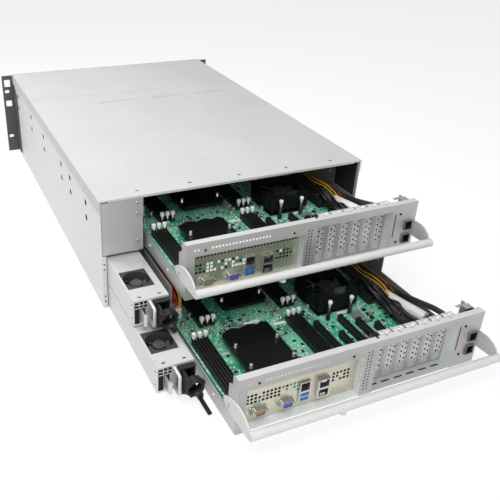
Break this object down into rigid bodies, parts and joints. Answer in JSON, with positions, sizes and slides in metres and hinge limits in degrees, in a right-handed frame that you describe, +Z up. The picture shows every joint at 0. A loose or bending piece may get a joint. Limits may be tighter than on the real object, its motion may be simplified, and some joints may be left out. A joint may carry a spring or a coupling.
{
  "type": "storage server",
  "caption": "Four-unit rack storage server with disk carriers at the front and computing sleds and power supplies that slide out of the rear.",
  "frame": {"origin": "centre of the flat underside of the chassis", "axes": "+Z up, the rear with the sleds faces -Y, the front with the disks faces +Y, +X to the right as seen from the rear"},
  "size_m": [0.4826, 1.0055, 0.177],
  "materials": {
    "chassis_sheet": "satin silver-grey",
    "cover_sheet": "satin silver-grey",
    "inner_zinc": "zinc plated",
    "panel_grey": "satin grey",
    "tray_zinc": "zinc plated",
    "io_zinc": "pale yellow zinc",
    "cover_grey": "zinc plated",
    "handle_silver": "satin silver",
    "board_green": "solder mask",
    "socket_black": "moulded",
    "cooler_black": "black anodised",
    "fan_black": "moulded",
    "cable_black": "sleeved",
    "supply_white": "satin near-white",
    "inlet_black": "moulded",
    "strap_steel": "bright",
    "ear_charcoal": "matte charcoal",
    "carrier_dark": "dark grey"
  },
  "bodies": {
    "chassis": {"chassis_base": "chassis_sheet", "rear_top_cover": "cover_sheet", "front_top_cover": "cover_sheet", "bay_divider": "inner_zinc", "sled_shelf": "inner_zinc", "psu_blank_panel": "chassis_sheet", "drive_cage": "inner_zinc", "drive_backplane": "board_green", "fan_wall": "inner_zinc", "rack_ear_left": "ear_charcoal", "rack_ear_right": "ear_charcoal"},
    "chassis_fan_left": {"chassis_fan_left": "fan_black"},
    "chassis_fan_middle": {"chassis_fan_middle": "fan_black"},
    "chassis_fan_right": {"chassis_fan_right": "fan_black"},
    "drive_carrier_r1_c1": {"drive_carrier_r1_c1": "carrier_dark"},
    "drive_carrier_r1_c2": {"drive_carrier_r1_c2": "carrier_dark"},
    "drive_carrier_r1_c3": {"drive_carrier_r1_c3": "carrier_dark"},
    "drive_carrier_r1_c4": {"drive_carrier_r1_c4": "carrier_dark"},
    "drive_carrier_r2_c1": {"drive_carrier_r2_c1": "carrier_dark"},
    "drive_carrier_r2_c2": {"drive_carrier_r2_c2": "carrier_dark"},
    "drive_carrier_r2_c3": {"drive_carrier_r2_c3": "carrier_dark"},
    "drive_carrier_r2_c4": {"drive_carrier_r2_c4": "carrier_dark"},
    "drive_carrier_r3_c1": {"drive_carrier_r3_c1": "carrier_dark"},
    "drive_carrier_r3_c2": {"drive_carrier_r3_c2": "carrier_dark"},
    "drive_carrier_r3_c3": {"drive_carrier_r3_c3": "carrier_dark"},
    "drive_carrier_r3_c4": {"drive_carrier_r3_c4": "carrier_dark"},
    "drive_carrier_r4_c1": {"drive_carrier_r4_c1": "carrier_dark"},
    "drive_carrier_r4_c2": {"drive_carrier_r4_c2": "carrier_dark"},
    "drive_carrier_r4_c3": {"drive_carrier_r4_c3": "carrier_dark"},
    "drive_carrier_r4_c4": {"drive_carrier_r4_c4": "carrier_dark"},
    "upper_sled": {"upper_sled_tray": "tray_zinc", "upper_sled_panel": "panel_grey", "upper_io_plate": "io_zinc", "upper_slot_covers": "cover_grey", "upper_motherboard": "board_green", "upper_board_connectors": "socket_black", "upper_coolers": "cooler_black", "upper_cables": "cable_black"},
    "upper_handle": {"upper_sled_handle": "handle_silver"},
    "upper_cooler_fan": {"upper_cooler_fan": "fan_black"},
    "lower_sled": {"lower_sled_tray": "tray_zinc", "lower_sled_panel": "panel_grey", "lower_io_plate": "io_zinc", "lower_slot_covers": "cover_grey", "lower_motherboard": "board_green", "lower_board_connectors": "socket_black", "lower_coolers": "cooler_black", "lower_cables": "cable_black"},
    "lower_handle": {"lower_sled_handle": "handle_silver"},
    "lower_cooler_fan": {"lower_cooler_fan": "fan_black"},
    "upper_psu": {"upper_psu_case": "supply_white", "upper_psu_inlet": "inlet_black", "upper_psu_handle": "strap_steel"},
    "upper_psu_fan": {"upper_psu_fan": "fan_black"},
    "upper_psu_latch": {"upper_psu_latch": "strap_steel"},
    "lower_psu": {"lower_psu_case": "supply_white", "lower_psu_inlet": "inlet_black", "lower_psu_handle": "strap_steel"},
    "lower_psu_fan": {"lower_psu_fan": "fan_black"},
    "lower_psu_latch": {"lower_psu_latch": "strap_steel"}
  },
  "joints": [
    {"name": "chassis_fan_left_spin", "type": "hinge", "parent": "chassis", "child": "chassis_fan_left", "pos_m": [-0.126, 0.08, 0.0885], "axis": [0, 1, 0], "continuous": true},
    {"name": "chassis_fan_middle_spin", "type": "hinge", "parent": "chassis", "child": "chassis_fan_middle", "pos_m": [0, 0.08, 0.0885], "axis": [0, 1, 0], "continuous": true},
    {"name": "chassis_fan_right_spin", "type": "hinge", "parent": "chassis", "child": "chassis_fan_right", "pos_m": [0.126, 0.08, 0.0885], "axis": [0, 1, 0], "continuous": true},
    {"name": "drive_carrier_r1_c1_slide", "type": "slide", "parent": "chassis", "child": "drive_carrier_r1_c1", "axis": [0, 1, 0], "range_m": [0, 0.15]},
    {"name": "drive_carrier_r1_c2_slide", "type": "slide", "parent": "chassis", "child": "drive_carrier_r1_c2", "axis": [0, 1, 0], "range_m": [0, 0.15]},
    {"name": "drive_carrier_r1_c3_slide", "type": "slide", "parent": "chassis", "child": "drive_carrier_r1_c3", "axis": [0, 1, 0], "range_m": [0, 0.15]},
    {"name": "drive_carrier_r1_c4_slide", "type": "slide", "parent": "chassis", "child": "drive_carrier_r1_c4", "axis": [0, 1, 0], "range_m": [0, 0.15]},
    {"name": "drive_carrier_r2_c1_slide", "type": "slide", "parent": "chassis", "child": "drive_carrier_r2_c1", "axis": [0, 1, 0], "range_m": [0, 0.15]},
    {"name": "drive_carrier_r2_c2_slide", "type": "slide", "parent": "chassis", "child": "drive_carrier_r2_c2", "axis": [0, 1, 0], "range_m": [0, 0.15]},
    {"name": "drive_carrier_r2_c3_slide", "type": "slide", "parent": "chassis", "child": "drive_carrier_r2_c3", "axis": [0, 1, 0], "range_m": [0, 0.15]},
    {"name": "drive_carrier_r2_c4_slide", "type": "slide", "parent": "chassis", "child": "drive_carrier_r2_c4", "axis": [0, 1, 0], "range_m": [0, 0.15]},
    {"name": "drive_carrier_r3_c1_slide", "type": "slide", "parent": "chassis", "child": "drive_carrier_r3_c1", "axis": [0, 1, 0], "range_m": [0, 0.15]},
    {"name": "drive_carrier_r3_c2_slide", "type": "slide", "parent": "chassis", "child": "drive_carrier_r3_c2", "axis": [0, 1, 0], "range_m": [0, 0.15]},
    {"name": "drive_carrier_r3_c3_slide", "type": "slide", "parent": "chassis", "child": "drive_carrier_r3_c3", "axis": [0, 1, 0], "range_m": [0, 0.15]},
    {"name": "drive_carrier_r3_c4_slide", "type": "slide", "parent": "chassis", "child": "drive_carrier_r3_c4", "axis": [0, 1, 0], "range_m": [0, 0.15]},
    {"name": "drive_carrier_r4_c1_slide", "type": "slide", "parent": "chassis", "child": "drive_carrier_r4_c1", "axis": [0, 1, 0], "range_m": [0, 0.15]},
    {"name": "drive_carrier_r4_c2_slide", "type": "slide", "parent": "chassis", "child": "drive_carrier_r4_c2", "axis": [0, 1, 0], "range_m": [0, 0.15]},
    {"name": "drive_carrier_r4_c3_slide", "type": "slide", "parent": "chassis", "child": "drive_carrier_r4_c3", "axis": [0, 1, 0], "range_m": [0, 0.15]},
    {"name": "drive_carrier_r4_c4_slide", "type": "slide", "parent": "chassis", "child": "drive_carrier_r4_c4", "axis": [0, 1, 0], "range_m": [0, 0.15]},
    {"name": "upper_sled_slide", "type": "slide", "parent": "chassis", "child": "upper_sled", "axis": [0, -1, 0], "range_m": [-0.146, 0.164]},
    {"name": "upper_handle_swing", "type": "hinge", "parent": "upper_sled", "child": "upper_handle", "pos_m": [0.0315, -0.461, 0.1246], "axis": [-1, 0, 0], "range_deg": [0, 60]},
    {"name": "upper_cooler_fan_spin", "type": "hinge", "parent": "upper_sled", "child": "upper_cooler_fan", "pos_m": [0.093, -0.292, 0.1206], "axis": [0, 0, 1], "continuous": true},
    {"name": "lower_sled_slide", "type": "slide", "parent": "chassis", "child": "lower_sled", "axis": [0, -1, 0], "range_m": [-0.302, 0.008]},
    {"name": "lower_handle_swing", "type": "hinge", "parent": "lower_sled", "child": "lower_handle", "pos_m": [0.0315, -0.617, 0.0356], "axis": [-1, 0, 0], "range_deg": [0, 60]},
    {"name": "lower_cooler_fan_spin", "type": "hinge", "parent": "lower_sled", "child": "lower_cooler_fan", "pos_m": [0.093, -0.448, 0.0316], "axis": [0, 0, 1], "continuous": true},
    {"name": "upper_psu_slide", "type": "slide", "parent": "chassis", "child": "upper_psu", "axis": [0, -1, 0], "range_m": [-0.116, 0.114]},
    {"name": "upper_psu_fan_spin", "type": "hinge", "parent": "upper_psu", "child": "upper_psu_fan", "pos_m": [-0.188, -0.3955, 0.0726], "axis": [0, 0, 1], "continuous": true},
    {"name": "upper_psu_latch_squeeze", "type": "hinge", "parent": "upper_psu", "child": "upper_psu_latch", "pos_m": [-0.199, -0.428, 0.0606], "axis": [0, 0, 1], "range_deg": [0, 8], "stiffness_Nm_per_rad": 0.05},
    {"name": "lower_psu_slide", "type": "slide", "parent": "chassis", "child": "lower_psu", "axis": [0, -1, 0], "range_m": [-0.204, 0.026]},
    {"name": "lower_psu_fan_spin", "type": "hinge", "parent": "lower_psu", "child": "lower_psu_fan", "pos_m": [-0.188, -0.4835, 0.0308], "axis": [0, 0, 1], "continuous": true},
    {"name": "lower_psu_latch_squeeze", "type": "hinge", "parent": "lower_psu", "child": "lower_psu_latch", "pos_m": [-0.199, -0.516, 0.0188], "axis": [0, 0, 1], "range_deg": [0, 8], "stiffness_Nm_per_rad": 0.05}
  ]
}
